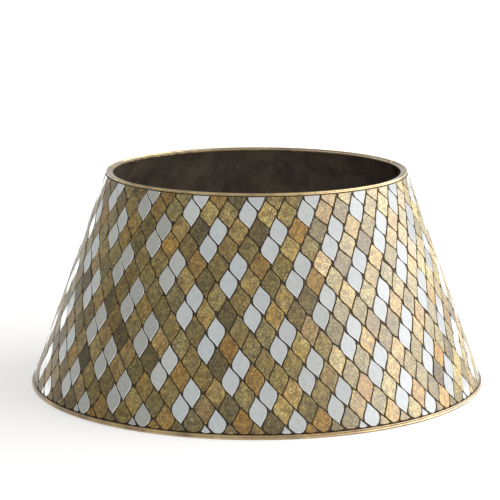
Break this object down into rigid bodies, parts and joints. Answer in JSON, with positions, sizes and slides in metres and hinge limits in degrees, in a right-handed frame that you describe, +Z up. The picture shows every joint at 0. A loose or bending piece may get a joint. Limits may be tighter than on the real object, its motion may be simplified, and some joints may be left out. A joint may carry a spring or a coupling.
{
  "type": "christmas tree collar",
  "caption": "Conical collar that stands round a christmas tree's foot: two hinged sheet-metal parts faced with leaf-shaped glass mosaic, rolled rims, and swing hooks inside that hold it shut.",
  "frame": {"origin": "centre of the base circle, on the floor", "axes": "+Z up along the cone's axis; the pictured front faces -Y; the hinges are at the right, a little behind +X"},
  "size_m": [0.6096, 0.6098, 0.288],
  "materials": {
    "glass_mosaic": "glossy foil-backed crackle glass in tan, amber, olive and mirror, in dark grout",
    "gold_rim": "antique gold, satin",
    "bronzed_iron": "dark bronze, satin",
    "aged_brass": "aged, satin",
    "rivet_steel": "bronzed, satin"
  },
  "bodies": {
    "front_half": {"front_wall": "bronzed_iron", "front_mosaic": "glass_mosaic", "front_base_rim": "gold_rim", "front_top_rim": "gold_rim", "front_hinge_edge_angle": "bronzed_iron", "front_latch_edge_angle": "bronzed_iron", "front_hinge_leaf_lower": "aged_brass", "front_hinge_rivet_lower_top": "rivet_steel", "front_hinge_rivet_lower_bottom": "rivet_steel", "front_hinge_leaf_upper": "aged_brass", "front_hinge_rivet_upper_top": "rivet_steel", "front_hinge_rivet_upper_bottom": "rivet_steel", "hinge_pin_lower": "rivet_steel", "hinge_pin_upper": "rivet_steel", "hook_pivot_stud_lower": "rivet_steel", "hook_pivot_stud_upper": "rivet_steel"},
    "back_half": {"back_wall": "bronzed_iron", "back_mosaic": "glass_mosaic", "back_base_rim": "gold_rim", "back_top_rim": "gold_rim", "back_hinge_edge_angle": "bronzed_iron", "back_latch_edge_angle": "bronzed_iron", "back_hinge_leaf_lower": "aged_brass", "back_hinge_rivet_lower_top": "rivet_steel", "back_hinge_rivet_lower_bottom": "rivet_steel", "back_hinge_leaf_upper": "aged_brass", "back_hinge_rivet_upper_top": "rivet_steel", "back_hinge_rivet_upper_bottom": "rivet_steel", "catch_stud_lower": "rivet_steel", "catch_stud_upper": "rivet_steel"},
    "latch_hook_lower": {"latch_hook_lower": "aged_brass"},
    "latch_hook_upper": {"latch_hook_upper": "aged_brass"}
  },
  "joints": [
    {"name": "back_half_swing", "type": "hinge", "parent": "front_half", "child": "back_half", "pos_m": [0.23712, 0.09534, 0.14394], "axis": [0.3165, 0.1272, -0.94], "range_deg": [0, 110]},
    {"name": "lower_hook_swing", "type": "hinge", "parent": "front_half", "child": "latch_hook_lower", "pos_m": [-0.26313, 0.01003, 0.07884], "axis": [-0.9399, 0.0235, 0.3406], "range_deg": [-45, 268.8]},
    {"name": "upper_hook_swing", "type": "hinge", "parent": "front_half", "child": "latch_hook_upper", "pos_m": [-0.21895, 0.00635, 0.20104], "axis": [-0.9399, 0.0235, 0.3406], "range_deg": [-45, 268.8]}
  ]
}
